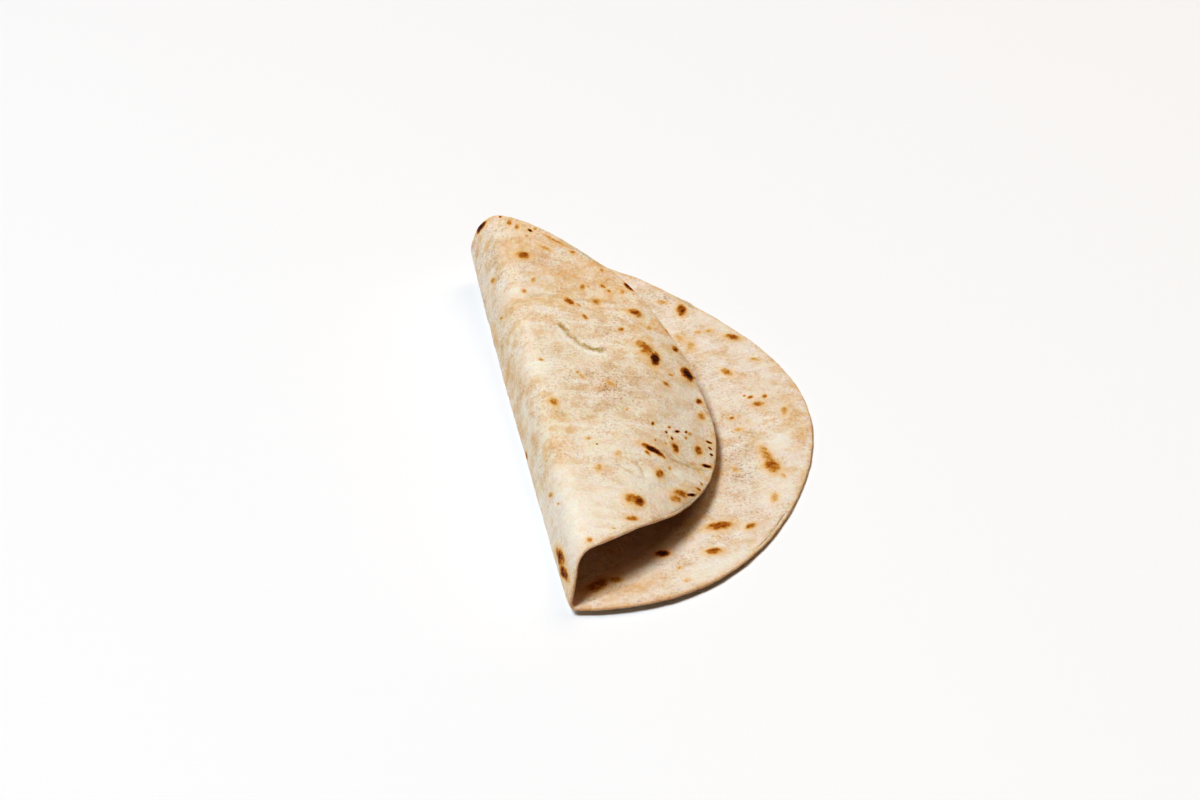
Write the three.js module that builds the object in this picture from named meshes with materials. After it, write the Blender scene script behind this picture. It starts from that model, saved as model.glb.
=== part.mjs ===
// Tawa roti: a round unleavened flatbread, browned in spots on a hot griddle and folded once.
// It is worked out as it is made: a flat disc of dough first, blistered by the heat, which is then
// bent along straight lines only, because thin bread bends but doesn't stretch.
// Millimetres. The crease runs along Y on the -X side, the free flap points to +X and +Z is up.
// The origin is on the table, under the middle of the folded roti.
import * as THREE from 'three';

// The flat roti, before it is folded
const ROTI_RADIUS = 100;
const MIDDLE_THICKNESS = 1.7;
const RIM_THICKNESS = 1.2;
const RIM_BAND = 5;
const RIM_BULGE = 0.4;

// It is rolled by hand, so slow waves run round its outline
const OUTLINE_WAVES = [
  { count: 2, cosine: -2.3, sine: -0.9 },
  { count: 3, cosine: 0.4, sine: -2.7 },
  { count: 4, cosine: 0.6, sine: 2 },
  { count: 5, cosine: 1, sine: -0.2 },
];

// The fold. The layer on the table ends at CREASE_X, measured from the disc's centre, and beyond it
// the sheet turns up, over and down. Each bend lies between two straight lines across the sheet. A
// line is given by its distances from CREASE_X at the front end (-Y) and at the back end (+Y) of the
// disc, and the lines between share the bend's turn, in degrees, evenly.
const CREASE_X = -8;
const BENDS = [
  { part: 'crease', front: [-4.5, -0.5], back: [0, 12.5], turn: 104, lines: 14 },
  { part: 'leaning wall', front: [11.5, 14.5], back: [20.5, 26], turn: 17, lines: 4 },
  { part: 'shoulder', front: [14.5, 22.5], back: [30, 38], turn: 63, lines: 10 },
  { part: 'drooping flap', front: [22.5, 43.5], back: [82, 117.5], turn: 23, lines: 10 },
];

// The ends of the sheet curl up a little off the table, each from its own line across the disc
const FRONT_CURL = { from: -40, over: 60, rise: 2 };
const BACK_CURL = { from: 20, over: 80, rise: 7 };

// Slow waves in the part that hangs free; the part that lies on the table stays flat
const FLAP_WAVES = [
  { height: 0.35, length: 52, heading: 20, shift: 1 },
  { height: 0.25, length: 34, heading: 115, shift: 2.5 },
];
const WAVE_FADE = 25;

// Steam lifts blisters where the bread browns. Each is an oval dome: its place on the flat disc, how
// far it reaches along its heading (degrees from +X) and across it, and its height. The outside is
// the face that shows on the flap, the inside the one that shows on the lower layer.
const OUTSIDE_BLISTERS = [
  { x: -79, y: 7, along: 9, across: 5, heading: 80, height: 0.8 },
  { x: -93, y: -2, along: 6, across: 4, heading: 80, height: 0.7 },
  { x: -58, y: 41, along: 6, across: 5, heading: 0, height: 0.7 },
  { x: -81, y: 30, along: 6, across: 5, heading: -30, height: 0.6 },
  { x: -46, y: 70, along: 6, across: 5, heading: 0, height: 0.6 },
  { x: -35, y: 95, along: 7, across: 4, heading: 40, height: 0.6 },
  { x: -66, y: -46, along: 8, across: 4, heading: 45, height: 0.8 },
  { x: -50, y: -72, along: 9, across: 6, heading: -10, height: 0.9 },
  { x: -70, y: -67, along: 8, across: 6, heading: 0, height: 0.7 },
  { x: -64, y: -58, along: 5, across: 5, heading: 0, height: 0.5 },
  { x: -36, y: -16, along: 6, across: 5, heading: 0, height: 0.5 },
  { x: -42, y: -54, along: 5, across: 5, heading: 0, height: 0.5 },
  { x: -58, y: -9, along: 8, across: 6, heading: 30, height: 0.6 },
  { x: -12, y: -83, along: 9, across: 5, heading: -68, height: 0.7 },
];
const INSIDE_BLISTERS = [
  { x: 64, y: 64, along: 6, across: 5, heading: 0, height: 0.7 },
  { x: 80, y: 44, along: 7, across: 5, heading: 0, height: 0.7 },
  { x: 61, y: 41, along: 9, across: 7, heading: 20, height: 0.6 },
  { x: 74, y: 22, along: 6, across: 5, heading: 0, height: 0.6 },
  { x: 80, y: 4, along: 8, across: 5, heading: -10, height: 0.6 },
  { x: 79, y: -33, along: 9, across: 6, heading: -80, height: 0.9 },
  { x: 76, y: -54, along: 7, across: 6, heading: -40, height: 0.6 },
  { x: 53, y: -66, along: 10, across: 5, heading: 10, height: 0.9 },
  { x: 63, y: -68, along: 5, across: 4, heading: 30, height: 0.6 },
  { x: 48, y: -79, along: 7, across: 5, heading: 10, height: 0.7 },
  { x: 30, y: -77, along: 7, across: 5, heading: 0, height: 0.7 },
  { x: 9, y: -86, along: 10, across: 5, heading: 15, height: 0.7 },
];

// The mesh is a grid of columns (steps along X) and rows (steps along Y). Its columns are close
// together where the sheet turns sharply. An edge is where a zone ends, as a share of the radius.
const COLUMN_ZONES = [
  { edge: -0.47, steps: 12 },
  { edge: 0, steps: 22 },
  { edge: 1, steps: 20 },
];
const ROW_ZONES = [{ edge: 1, steps: 38 }];

const CREAM = 0xe2cba9;
const ROTI_MATERIAL = new THREE.MeshStandardMaterial({ color: CREAM, roughness: 0.85, metalness: 0 });

const AWAY_FROM_TABLE = new THREE.Vector3(0, 0, 1);

// Stations from -1 to 1, with each zone divided evenly into its own number of steps
function stationsOf(zones) {
  const stations = [-1];
  for (const zone of zones) {
    const start = stations[stations.length - 1];
    for (let step = 1; step <= zone.steps; step += 1) {
      stations.push(start + (zone.edge - start) * (step / zone.steps));
    }
  }
  return stations;
}

// Distance from the disc's centre to its edge in one direction
function edgeRadius(angle) {
  let radius = ROTI_RADIUS;
  for (const wave of OUTLINE_WAVES) {
    radius += wave.cosine * Math.cos(wave.count * angle) + wave.sine * Math.sin(wave.count * angle);
  }
  return radius;
}

// A station of the square grid moved to its place on the disc: the square's sides become its edge
function placeOnDisc(column, row) {
  const x = column * Math.sqrt(1 - (row * row) / 2);
  const y = row * Math.sqrt(1 - (column * column) / 2);
  const radius = edgeRadius(Math.atan2(y, x));
  return { x: x * radius, y: y * radius, fromRim: radius * (1 - Math.hypot(x, y)) };
}

function smoothStep(value) {
  const share = THREE.MathUtils.clamp(value, 0, 1);
  return share * share * (3 - 2 * share);
}

function thicknessAt(place) {
  return THREE.MathUtils.lerp(RIM_THICKNESS, MIDDLE_THICKNESS, smoothStep(place.fromRim / RIM_BAND));
}

// How far the whole sheet waves up or down at a place, which is only where it hangs free
function waveAt(place) {
  let height = 0;
  for (const wave of FLAP_WAVES) {
    const heading = THREE.MathUtils.degToRad(wave.heading);
    const along = place.x * Math.cos(heading) + place.y * Math.sin(heading);
    height += wave.height * Math.sin((2 * Math.PI * along) / wave.length + wave.shift);
  }
  return height * smoothStep((CREASE_X - WAVE_FADE - place.x) / WAVE_FADE);
}

// How far the blisters of one face stand up at a place
function blisterHeight(place, blisters) {
  let height = 0;
  for (const blister of blisters) {
    const heading = THREE.MathUtils.degToRad(blister.heading);
    const right = place.x - blister.x;
    const back = place.y - blister.y;
    const along = (right * Math.cos(heading) + back * Math.sin(heading)) / blister.along;
    const across = (back * Math.cos(heading) - right * Math.sin(heading)) / blister.across;
    const distance = Math.hypot(along, across);
    height = Math.max(height, blister.height * (1 - smoothStep(distance)));
  }
  return height;
}

function curlHeight(curl, y) {
  const past = curl.from > 0 ? y - curl.from : curl.from - y;
  return past > 0 ? curl.rise * (past / curl.over) ** 2 : 0;
}

// The lines of all bends, from the crease outwards. Each has a point on it, its direction from
// front to back, and the angle that the sheet turns there.
function bendLines() {
  const lines = [];
  for (const bend of BENDS) {
    for (let number = 0; number < bend.lines; number += 1) {
      const share = (number + 0.5) / bend.lines;
      const frontX = CREASE_X - THREE.MathUtils.lerp(bend.front[0], bend.front[1], share);
      const backX = CREASE_X - THREE.MathUtils.lerp(bend.back[0], bend.back[1], share);
      const front = new THREE.Vector3(frontX, -ROTI_RADIUS, 0);
      const back = new THREE.Vector3(backX, ROTI_RADIUS, 0);
      const direction = back.clone().sub(front).normalize();
      lines.push({ point: front, direction, turn: THREE.MathUtils.degToRad(bend.turn / bend.lines) });
    }
  }
  return lines;
}

const LINES_FROM_FLAP_TO_CREASE = bendLines().reverse();

// A point of the flat sheet carried along as the sheet is folded. The outermost line bends first,
// so each line is still on the table when the sheet turns about it.
function fold(place, height) {
  const folded = new THREE.Vector3(place.x, place.y, height);
  for (const line of LINES_FROM_FLAP_TO_CREASE) {
    const right = place.x - line.point.x;
    const back = place.y - line.point.y;
    const isPastLine = right * line.direction.y - back * line.direction.x < 0;
    if (isPastLine) {
      folded.sub(line.point).applyAxisAngle(line.direction, line.turn).add(line.point);
    }
  }
  const curl = curlHeight(FRONT_CURL, place.y) + curlHeight(BACK_CURL, place.y);
  return folded.addScaledVector(AWAY_FROM_TABLE, curl);
}

// The closed skin of the folded roti: the inside face, the outside face and the rim between them
function rotiGeometry() {
  const columns = stationsOf(COLUMN_ZONES);
  const rows = stationsOf(ROW_ZONES);
  const lastColumn = columns.length - 1;
  const lastRow = rows.length - 1;
  const points = [];
  const triangles = [];

  const addPoint = (point) => {
    points.push(point.x, point.y, point.z);
    return points.length / 3 - 1;
  };
  const inside = columns.map(() => []);
  const outside = columns.map(() => []);
  columns.forEach((column, i) => {
    rows.forEach((row, j) => {
      const place = placeOnDisc(column, row);
      const half = thicknessAt(place) / 2;
      const wave = waveAt(place);
      const rim = smoothStep(place.fromRim / RIM_BAND);
      inside[i][j] = addPoint(fold(place, wave + half + rim * blisterHeight(place, INSIDE_BLISTERS)));
      outside[i][j] = addPoint(fold(place, wave - half - rim * blisterHeight(place, OUTSIDE_BLISTERS)));
    });
  });

  // Every square of the grid is cut along the diagonal that points to the disc's centre
  const addSquare = (face, i, j, turned) => {
    const near = face[i][j];
    const right = face[i + 1][j];
    const far = face[i + 1][j + 1];
    const left = face[i][j + 1];
    const pointsToCentre = (columns[i] + columns[i + 1]) * (rows[j] + rows[j + 1]) > 0;
    const halves = pointsToCentre
      ? [[near, right, far], [near, far, left]]
      : [[near, right, left], [right, far, left]];
    for (const half of halves) {
      triangles.push(...(turned ? half.reverse() : half));
    }
  };
  for (let i = 0; i < lastColumn; i += 1) {
    for (let j = 0; j < lastRow; j += 1) {
      addSquare(inside, i, j, false);
      addSquare(outside, i, j, true);
    }
  }

  // The rim, once round: along the front, up the right side, back along the rear, down the left
  const rimStations = [];
  for (let i = 0; i < lastColumn; i += 1) rimStations.push([i, 0]);
  for (let j = 0; j < lastRow; j += 1) rimStations.push([lastColumn, j]);
  for (let i = lastColumn; i > 0; i -= 1) rimStations.push([i, lastRow]);
  for (let j = lastRow; j > 0; j -= 1) rimStations.push([0, j]);
  const rim = rimStations.map(([i, j]) => {
    const place = placeOnDisc(columns[i], rows[j]);
    const stretch = 1 + RIM_BULGE / Math.hypot(place.x, place.y);
    const bulged = { x: place.x * stretch, y: place.y * stretch };
    return { inside: inside[i][j], outside: outside[i][j], middle: addPoint(fold(bulged, waveAt(place))) };
  });
  rim.forEach((here, index) => {
    const next = rim[(index + 1) % rim.length];
    triangles.push(here.middle, next.middle, next.inside, here.middle, next.inside, here.inside);
    triangles.push(here.outside, next.outside, next.middle, here.outside, next.middle, here.middle);
  });

  const geometry = new THREE.BufferGeometry();
  geometry.setAttribute('position', new THREE.Float32BufferAttribute(points, 3));
  geometry.setIndex(triangles);
  geometry.computeVertexNormals();
  geometry.computeBoundingBox();
  return geometry;
}

// The roti lies with its lowest point on the table and its middle over the origin
function buildRoti() {
  const geometry = rotiGeometry();
  const middle = geometry.boundingBox.getCenter(new THREE.Vector3());
  const roti = new THREE.Mesh(geometry, ROTI_MATERIAL);
  roti.name = 'roti';
  roti.position.set(-middle.x, -middle.y, -geometry.boundingBox.min.z);
  return roti;
}

const group = new THREE.Group();
group.add(buildRoti());

export default group;
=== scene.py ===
# %% [markdown]
# # A folded tawa roti
# A tawa roti is a thin round bread of wholemeal dough. It is rolled out by hand, baked on a flat hot
# griddle until it browns in spots, and folded once while it is still soft.
# The bread is one piece, so it is one mesh here too. We start as the cook does, with a flat round
# sheet. Then come the fold, the thickness, the blisters and the browning.
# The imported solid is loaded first. It gives the size and the place, and it is in metres.

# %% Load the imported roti
import math

import bmesh
import bpy
import numpy as np
from mathutils import Euler, Matrix, Vector


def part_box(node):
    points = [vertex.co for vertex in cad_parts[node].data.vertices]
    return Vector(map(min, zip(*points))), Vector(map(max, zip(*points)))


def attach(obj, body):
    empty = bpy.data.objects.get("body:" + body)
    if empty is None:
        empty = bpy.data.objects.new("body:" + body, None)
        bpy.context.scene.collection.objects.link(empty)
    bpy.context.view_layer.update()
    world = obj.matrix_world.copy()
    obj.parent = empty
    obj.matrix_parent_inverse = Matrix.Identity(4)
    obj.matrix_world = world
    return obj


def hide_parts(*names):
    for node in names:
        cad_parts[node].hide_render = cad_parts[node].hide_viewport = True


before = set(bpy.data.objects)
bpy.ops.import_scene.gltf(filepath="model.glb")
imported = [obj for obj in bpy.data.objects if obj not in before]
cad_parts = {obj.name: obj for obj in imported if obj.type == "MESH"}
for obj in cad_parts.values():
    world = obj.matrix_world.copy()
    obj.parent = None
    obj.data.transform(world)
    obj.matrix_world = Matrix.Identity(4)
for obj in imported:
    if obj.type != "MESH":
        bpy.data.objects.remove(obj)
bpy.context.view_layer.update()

# %% [markdown]
# # The camera
# The photograph looks down at the bread at about 38 degrees, through a lens a little longer than
# normal. A camera could be aimed with a Track To constraint, but its place and angles are known, so
# they are set directly. The small roll is that of a camera held in the hand.

# %% Set the camera
CAMERA_PLACE = (-0.1202, -0.6256, 0.5094)
CAMERA_TILT_DOWN = 38.2
CAMERA_TURN = -9.0
CAMERA_ROLL = -0.5
CAMERA_LENS = 64.6
CAMERA_SENSOR = 36


def add_camera():
    """Adds the camera at its place, looking down at the bread from the front."""
    aim = Euler((math.radians(90 - CAMERA_TILT_DOWN), 0, math.radians(CAMERA_TURN)))
    roll = Matrix.Rotation(math.radians(CAMERA_ROLL), 3, "Z")
    bpy.ops.object.camera_add(location=CAMERA_PLACE)
    camera = bpy.context.object
    camera.rotation_euler = (aim.to_matrix() @ roll).to_euler()
    camera.data.lens = CAMERA_LENS
    camera.data.sensor_width = CAMERA_SENSOR
    camera.data.sensor_fit = "HORIZONTAL"
    bpy.context.scene.camera = camera
    print("camera", camera.data.lens, "mm lens at", tuple(round(x, 3) for x in camera.location))


add_camera()

# %% [markdown]
# # Light and floor
# The photograph was lit by one lamp, high up at the left of the bread. Its shadows are short, they
# fall to the right, and their edges are soft by a few millimetres. An area lamp about a third as wide
# as it is far away gives such edges. A second lamp, at the right and behind, fills the shadows a
# little. It is warmer than the first one, because the shadows in the photograph are brown. The world's
# even light is kept low, because the inside of the fold is dark. The floor is plain and nearly white.

# %% Light the scene
KEY_PLACE = (-2.23, -0.31, 5.56)
KEY_SIZE = 1.9
KEY_POWER = 355
KEY_TINT = (0.90, 0.965, 1.0)
FILL_PLACE = (1.35, 1.0, 2.75)
FILL_SIZE = 1.8
FILL_POWER = 28.5
FILL_TINT = (1.0, 0.78, 0.53)
ROOM_LIGHT = 0.10
ROOM_TINT = (1.0, 0.50, 0.20)
FLOOR_SIZE = 8
FLOOR_WHITE = (0.87, 0.895, 0.94)
FLOOR_ROUGHNESS = 0.6
EXPOSURE = -0.5
AIM_POINT = Vector((0, 0, 0.01))


def add_lamp(name, place, size, power, tint):
    """Adds a square area lamp that points at the bread."""
    turn = (AIM_POINT - Vector(place)).to_track_quat("-Z", "Y").to_euler()
    bpy.ops.object.light_add(type="AREA", location=place, rotation=turn)
    lamp = bpy.context.object
    lamp.name = name
    lamp.data.size = size
    lamp.data.energy = power
    lamp.data.color = tint
    print("lamp", name, power, "W")


def plain_material(name, colour, roughness):
    """A material of one colour, for the floor alone."""
    material = bpy.data.materials.new(name)
    material.use_nodes = True
    shader = material.node_tree.nodes["Principled BSDF"]
    shader.inputs["Base Color"].default_value = (*colour, 1)
    shader.inputs["Roughness"].default_value = roughness
    return material


def add_room():
    """Adds the world's even light and the floor."""
    world = bpy.data.worlds.new("room")
    world.use_nodes = True
    background = world.node_tree.nodes["Background"]
    background.inputs["Color"].default_value = (*ROOM_TINT, 1)
    background.inputs["Strength"].default_value = ROOM_LIGHT
    bpy.context.scene.world = world
    bpy.ops.mesh.primitive_plane_add(size=FLOOR_SIZE)
    floor = bpy.context.object
    floor.name = "floor"
    floor.data.materials.append(plain_material("floor_white", FLOOR_WHITE, FLOOR_ROUGHNESS))
    print("floor", FLOOR_SIZE, "m wide")


add_lamp("key_lamp", KEY_PLACE, KEY_SIZE, KEY_POWER, KEY_TINT)
add_lamp("fill_lamp", FILL_PLACE, FILL_SIZE, FILL_POWER, FILL_TINT)
add_room()
view = bpy.context.scene.view_settings
view.view_transform = "Standard"
view.look = "High Contrast"
view.exposure = EXPOSURE

# %% [markdown]
# # The flat sheet
# Before it is folded, the roti is a disc about 200 mm across. It is rolled by hand, so slow waves run
# round its outline. A circle filled with a fan would have long thin triangles, which fold badly. A grid
# primitive has even squares, so we take that, and push its sides out until the square is a disc.
# The columns of squares are closer together where the sheet will turn sharply.

# %% Make the flat sheet
MM = 0.001
ROTI_RADIUS = 100 * MM
RIM_EXTRA = 0.25 * MM  # makes up for what rounding the rim takes off later
OUTLINE_WAVES = [  # waves round the edge, the cosine part and the sine part of each, in mm
    (2, -2.3, -0.9),
    (3, 0.4, -2.7),
    (4, 0.6, 2.0),
    (5, 1.0, -0.2),
]
COLUMN_ZONES = [(-0.47, 13), (0.0, 23), (1.0, 21)]  # where each zone ends, and how many columns it has
ROWS = 43
RIM_RING = 1.3 * MM  # width of the ring of faces along the edge


def column_stations():
    """Where the columns stand, from -1 at the left edge to 1 at the right one."""
    stations = [-1.0]
    for edge, steps in COLUMN_ZONES:
        start = stations[-1]
        stations += [start + (edge - start) * (step + 1) / steps for step in range(steps)]
    return stations


def edge_radius(angle):
    """Distance from the disc's middle to its edge in one direction."""
    waves = sum(c * math.cos(n * angle) + s * math.sin(n * angle) for n, c, s in OUTLINE_WAVES)
    return ROTI_RADIUS + RIM_EXTRA + waves * MM


def place_on_disc(column, row):
    """A point of the square from -1 to 1, moved to its place on the disc."""
    x = column * math.sqrt(1 - row * row / 2)
    y = row * math.sqrt(1 - column * column / 2)
    radius = edge_radius(math.atan2(y, x))
    return Vector((x * radius, y * radius, 0))


def add_sheet():
    """Adds the grid, rounds it to the disc, and insets a narrow ring along its edge."""
    stations = column_stations()
    columns = len(stations) - 1
    bpy.ops.object.select_all(action="DESELECT")
    bpy.ops.mesh.primitive_grid_add(x_subdivisions=columns, y_subdivisions=ROWS, size=2)
    sheet = bpy.context.object
    sheet.name = "tawa_roti"
    for vertex in sheet.data.vertices:
        column = stations[round((vertex.co.x + 1) / 2 * columns)]
        vertex.co = place_on_disc(column, vertex.co.y)
    bpy.ops.object.mode_set(mode="EDIT")
    bpy.ops.mesh.select_all(action="SELECT")
    bpy.ops.mesh.inset(thickness=RIM_RING, use_boundary=True, use_even_offset=True)
    bpy.ops.object.mode_set(mode="OBJECT")
    print("flat sheet", len(sheet.data.polygons), "faces,", columns, "columns")
    return sheet


roti = add_sheet()

# %% [markdown]
# # A map of the flat sheet
# The fold will move every point, but the browning and the marks of rolling belong to the flat sheet.
# So its shape is written into a UV map now, in metres from the disc's middle. Everything later asks
# this map where a point was before it was folded.

# %% Keep the flat places in a UV map
SHEET_MAP = "sheet"


def vertex_places(mesh):
    """The places of a mesh's vertices, as rows of x, y, z."""
    places = np.empty(len(mesh.vertices) * 3, np.float32)
    mesh.vertices.foreach_get("co", places)
    return places.reshape(-1, 3).astype(float)


def set_vertex_places(mesh, places):
    """Moves a mesh's vertices to the given places."""
    mesh.vertices.foreach_set("co", places.astype(np.float32).ravel())
    mesh.update()


def corner_vertices(mesh):
    """The vertex that each face corner stands on."""
    corners = np.empty(len(mesh.loops), np.int32)
    mesh.loops.foreach_get("vertex_index", corners)
    return corners


def map_flat_places(mesh):
    """Writes the flat x and y of every corner into the sheet's own UV map."""
    while mesh.uv_layers:
        mesh.uv_layers.remove(mesh.uv_layers[0])
    layer = mesh.uv_layers.new(name=SHEET_MAP)
    flat = vertex_places(mesh)[corner_vertices(mesh), :2]
    layer.uv.foreach_set("vector", flat.astype(np.float32).ravel())


def flat_places(mesh):
    """Each vertex's place on the flat sheet, read back from the map."""
    corners = np.empty(len(mesh.loops) * 2, np.float32)
    mesh.uv_layers[SHEET_MAP].uv.foreach_get("vector", corners)
    flat = np.zeros((len(mesh.vertices), 2))
    flat[corner_vertices(mesh)] = corners.reshape(-1, 2)
    return flat


map_flat_places(roti.data)
print("flat width", np.ptp(flat_places(roti.data), axis=0).round(4))

# %% [markdown]
# # The fold
# Thin bread bends but doesn't stretch, so it folds along straight lines only. The crease turns
# tightly, then comes a nearly upright wall, a soft shoulder and a flap that droops. At the back the
# same bends lie further apart, so the fold is taller and rounder there.
# A Simple Deform modifier bends a sheet evenly and square on. Here the lines fan out, so we fold as
# by hand: all that lies past one line is selected and turned about that line, and then the next. The
# outermost line comes first, so that every line is still flat on the table when its turn comes.

# %% Fold the sheet
CREASE_X = -8 * MM
BENDS = [  # distances of the first and last line from the crease, at the front and back end, in mm
    {"part": "crease", "front": (-4.5, -0.5), "back": (0, 12.5), "turn": 104, "lines": 28},
    {"part": "leaning wall", "front": (12, 15), "back": (20.5, 26), "turn": 17, "lines": 8},
    {"part": "shoulder", "front": (15.5, 21), "back": (30, 38), "turn": 63, "lines": 20},
    {"part": "drooping flap", "front": (22.5, 43.5), "back": (82, 117.5), "turn": 23, "lines": 20},
]
FLAP_WAVES = [  # height and length in mm, heading in degrees, and shift of each slow wave
    (0.35, 52, 20, 1.0),
    (0.25, 34, 115, 2.5),
]
WAVE_FADE = 25 * MM  # the waves start this far past the crease, and grow over as much again
FRONT_CURL = {"from": -40 * MM, "over": 60 * MM, "rise": 2 * MM}
BACK_CURL = {"from": 20 * MM, "over": 80 * MM, "rise": 7 * MM}
UP = Vector((0, 0, 1))


def smooth_step(value):
    """Rises softly from 0 to 1 as the value goes from 0 to 1."""
    share = np.clip(value, 0, 1)
    return share * share * (3 - 2 * share)


def bend_lines(bend):
    """The lines of one bend, each with its front end, its back end and its turn."""
    for number in range(bend["lines"]):
        share = (number + 0.5) / bend["lines"]
        front_x, back_x = (CREASE_X - MM * np.interp(share, (0, 1), bend[end]) for end in ("front", "back"))
        front = Vector((front_x, -ROTI_RADIUS, 0))
        back = Vector((back_x, ROTI_RADIUS, 0))
        yield front, back, math.radians(bend["turn"] / bend["lines"])


def turn_past_line(mesh, flat, front, back, turn):
    """Selects what lies past one line of the sheet, and turns it up about that line."""
    direction = (back - front).normalized()
    away = flat - np.array(front)[:2]
    is_past = away[:, 0] * direction.y - away[:, 1] * direction.x < 0
    shape = bmesh.from_edit_mesh(mesh)
    for vertex, past in zip(shape.verts, is_past):
        vertex.select = bool(past)
    shape.select_flush_mode()
    axes = Matrix((direction, UP.cross(direction), UP)).transposed()
    bpy.ops.transform.rotate(value=-turn, orient_axis="X", orient_matrix=axes, center_override=front)


def fold_sheet(piece):
    """Lets the flap wave a little, folds the sheet line by line, and curls its two ends."""
    mesh = piece.data
    flat = flat_places(mesh)
    places = vertex_places(mesh)
    for height, length, heading, shift in FLAP_WAVES:
        angle = math.radians(heading)
        along = flat @ (math.cos(angle), math.sin(angle))
        wave = height * MM * np.sin(2 * math.pi * along / (length * MM) + shift)
        places[:, 2] += wave * smooth_step((CREASE_X - WAVE_FADE - flat[:, 0]) / WAVE_FADE)
    set_vertex_places(mesh, places)
    bpy.ops.object.mode_set(mode="EDIT")
    bpy.ops.mesh.select_mode(type="VERT")
    lines = [line for bend in BENDS for line in bend_lines(bend)]
    for front, back, turn in reversed(lines):
        turn_past_line(mesh, flat, front, back, turn)
    bpy.ops.object.mode_set(mode="OBJECT")
    places = vertex_places(mesh)
    for curl, sign in ((FRONT_CURL, -1), (BACK_CURL, 1)):
        past = np.maximum(sign * (flat[:, 1] - curl["from"]), 0)
        places[:, 2] += curl["rise"] * (past / curl["over"]) ** 2
    set_vertex_places(mesh, places)
    print("folded along", len(lines), "lines, size in mm", (np.ptp(places, axis=0) / MM).round(1))


fold_sheet(roti)

# %% [markdown]
# # Thickness
# The bread is 1.7 mm thick and thins to 1.35 mm at its rim. A Solidify modifier gives the sheet that
# thickness, half on each side, and vertex weights make its rim thinner. It also writes a vertex group
# for the new side, which we need later: the two sides of a roti brown differently. Then Subdivision
# Surface rounds the rim and the bends, and makes the mesh fine enough for blisters.

# %% Give the sheet its thickness
MIDDLE_THICKNESS = 1.7 * MM
RIM_THICKNESS = 1.35 * MM
RIM_BAND = 5 * MM
SMOOTH_LEVELS = 2
LEAST_WEIGHT = 0.002  # a smaller weight isn't stored


def weigh(piece, name, weights):
    """Writes a vertex group, as weight painting would."""
    group = piece.vertex_groups.new(name=name)
    for index in np.flatnonzero(weights > LEAST_WEIGHT):
        group.add([int(index)], float(min(weights[index], 1)), "REPLACE")


def read_weights(piece, name):
    """The weights of one vertex group, 0 where a vertex isn't in it."""
    number = piece.vertex_groups[name].index
    weights = np.zeros(len(piece.data.vertices))
    for vertex in piece.data.vertices:
        for member in vertex.groups:
            if member.group == number:
                weights[vertex.index] = member.weight
    return weights


def add_modifier(piece, kind, **settings):
    """Adds a modifier, sets it up and applies it."""
    bpy.context.view_layer.objects.active = piece
    modifier = piece.modifiers.new(kind.lower(), kind)
    for name, value in settings.items():
        setattr(modifier, name, value)
    bpy.ops.object.modifier_apply(modifier=modifier.name)


def distance_from_rim(flat):
    """How far each place of the flat sheet is from its edge."""
    angles = np.arctan2(flat[:, 1], flat[:, 0])
    radii = np.array([edge_radius(angle) for angle in angles])
    return radii - np.hypot(flat[:, 0], flat[:, 1])


def thicken(piece):
    """Makes the sheet a closed solid with a rounded rim."""
    from_rim = distance_from_rim(flat_places(piece.data))
    thin = RIM_THICKNESS / MIDDLE_THICKNESS
    weigh(piece, "thick", thin + (1 - thin) * smooth_step(from_rim / RIM_BAND))
    piece.vertex_groups.new(name="outside")
    add_modifier(
        piece,
        "SOLIDIFY",
        thickness=MIDDLE_THICKNESS,
        offset=0,
        vertex_group="thick",
        use_rim=True,
        shell_vertex_group="outside",
    )
    add_modifier(piece, "SUBSURF", levels=SMOOTH_LEVELS, render_levels=SMOOTH_LEVELS)
    mesh = piece.data
    triangles = sum(len(face.vertices) - 2 for face in mesh.polygons)
    print("bread has", len(mesh.vertices), "vertices,", triangles, "triangles")


thicken(roti)

# %% [markdown]
# # Into its place
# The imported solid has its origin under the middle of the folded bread. The sheet was folded round the
# disc's own middle, so the whole mesh is moved until both boxes have the same middle and floor.

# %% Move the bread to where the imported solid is
def move_to_frame(piece):
    """Moves the vertices so that the piece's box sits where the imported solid's box does."""
    low, high = (np.array(corner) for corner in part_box("roti"))
    places = vertex_places(piece.data)
    middle = (places.min(0) + places.max(0)) / 2
    shift = (low + high) / 2 - middle
    shift[2] = low[2] - places[:, 2].min()
    set_vertex_places(piece.data, places + shift)
    print("moved by", (shift / MM).round(2), "mm; size", (np.ptp(places, axis=0) / MM).round(2))
    print("packed size", ((high - low) / MM).round(2))


move_to_frame(roti)

# %% [markdown]
# # Which side is which
# The side that shows on the flap, and lies on the table under the lower layer, is called the outside.
# The side that shows on the lower layer, and lines the fold, is the inside. The rim goes with the
# side that shows above it.

# %% Sort the vertices into the two sides
SIDE_WEIGHT = 0.06  # on the flap a vertex of more weight than this counts as outside


def is_outside(piece):
    """For each vertex, whether it is on the outside."""
    weights = read_weights(piece, "outside")
    is_flap = flat_places(piece.data)[:, 0] < CREASE_X
    return weights > np.where(is_flap, SIDE_WEIGHT, 1 - SIDE_WEIGHT)


FLAT = flat_places(roti.data)
OUTSIDE = is_outside(roti)
FROM_RIM = distance_from_rim(FLAT)
print("outside vertices", int(OUTSIDE.sum()), "inside vertices", int((~OUTSIDE).sum()))

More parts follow.
